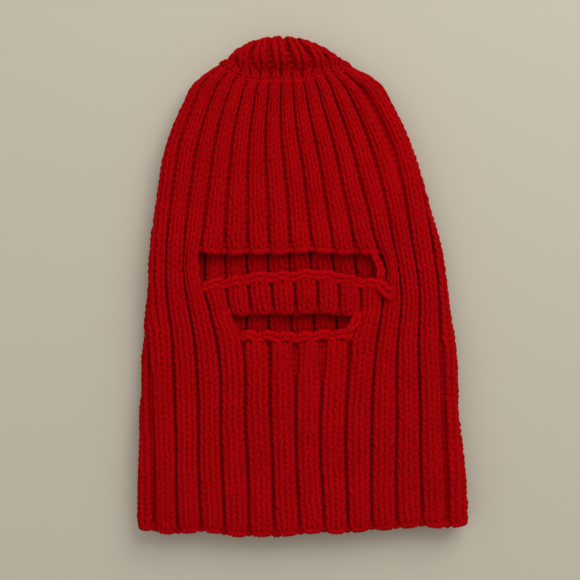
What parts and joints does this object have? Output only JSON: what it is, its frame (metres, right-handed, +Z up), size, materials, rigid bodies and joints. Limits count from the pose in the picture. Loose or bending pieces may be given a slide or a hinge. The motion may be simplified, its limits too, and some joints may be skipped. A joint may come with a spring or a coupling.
{
  "type": "knitted balaclava",
  "caption": "Chunky rib-knit pull-on head cover lying flat, with a wide eye slit, a shorter mouth slit, a gathered crown and an open neck hem.",
  "frame": {"origin": "middle of the underside, on the surface that the flat garment rests on", "axes": "+X across the face to its right-hand side as seen from above, +Y from the hem to the crown, +Z up, out of the face side"},
  "size_m": [0.2446, 0.3696, 0.0272],
  "materials": {
    "wool_rib": "chunky two-by-two rib knit in red wool",
    "wool_edge": "bound-off and cast-on chain of the same red wool",
    "wool_crown": "drawn-in one-by-one rib of the same red wool"
  },
  "bodies": {
    "root": {"hem_edge": "wool_edge", "collar_front": "wool_rib", "collar_back": "wool_rib", "neck_front": "wool_rib", "neck_back": "wool_rib", "cheek_left": "wool_rib", "cheek_right": "wool_rib", "nose_bridge": "wool_rib", "face_back": "wool_rib", "brow_front": "wool_rib", "brow_back": "wool_rib", "dome_front": "wool_rib", "dome_back": "wool_rib", "crown_front": "wool_crown", "crown_back": "wool_crown", "crown_gather": "wool_crown", "mouth_lower_edge": "wool_edge", "mouth_upper_edge": "wool_edge", "eye_lower_edge": "wool_edge", "eye_upper_edge": "wool_edge", "mouth_corner_left": "wool_edge", "mouth_corner_right": "wool_edge", "eye_corner_left": "wool_edge", "eye_corner_right": "wool_edge", "eye_edge_tail": "wool_edge"}
  },
  "joints": []
}
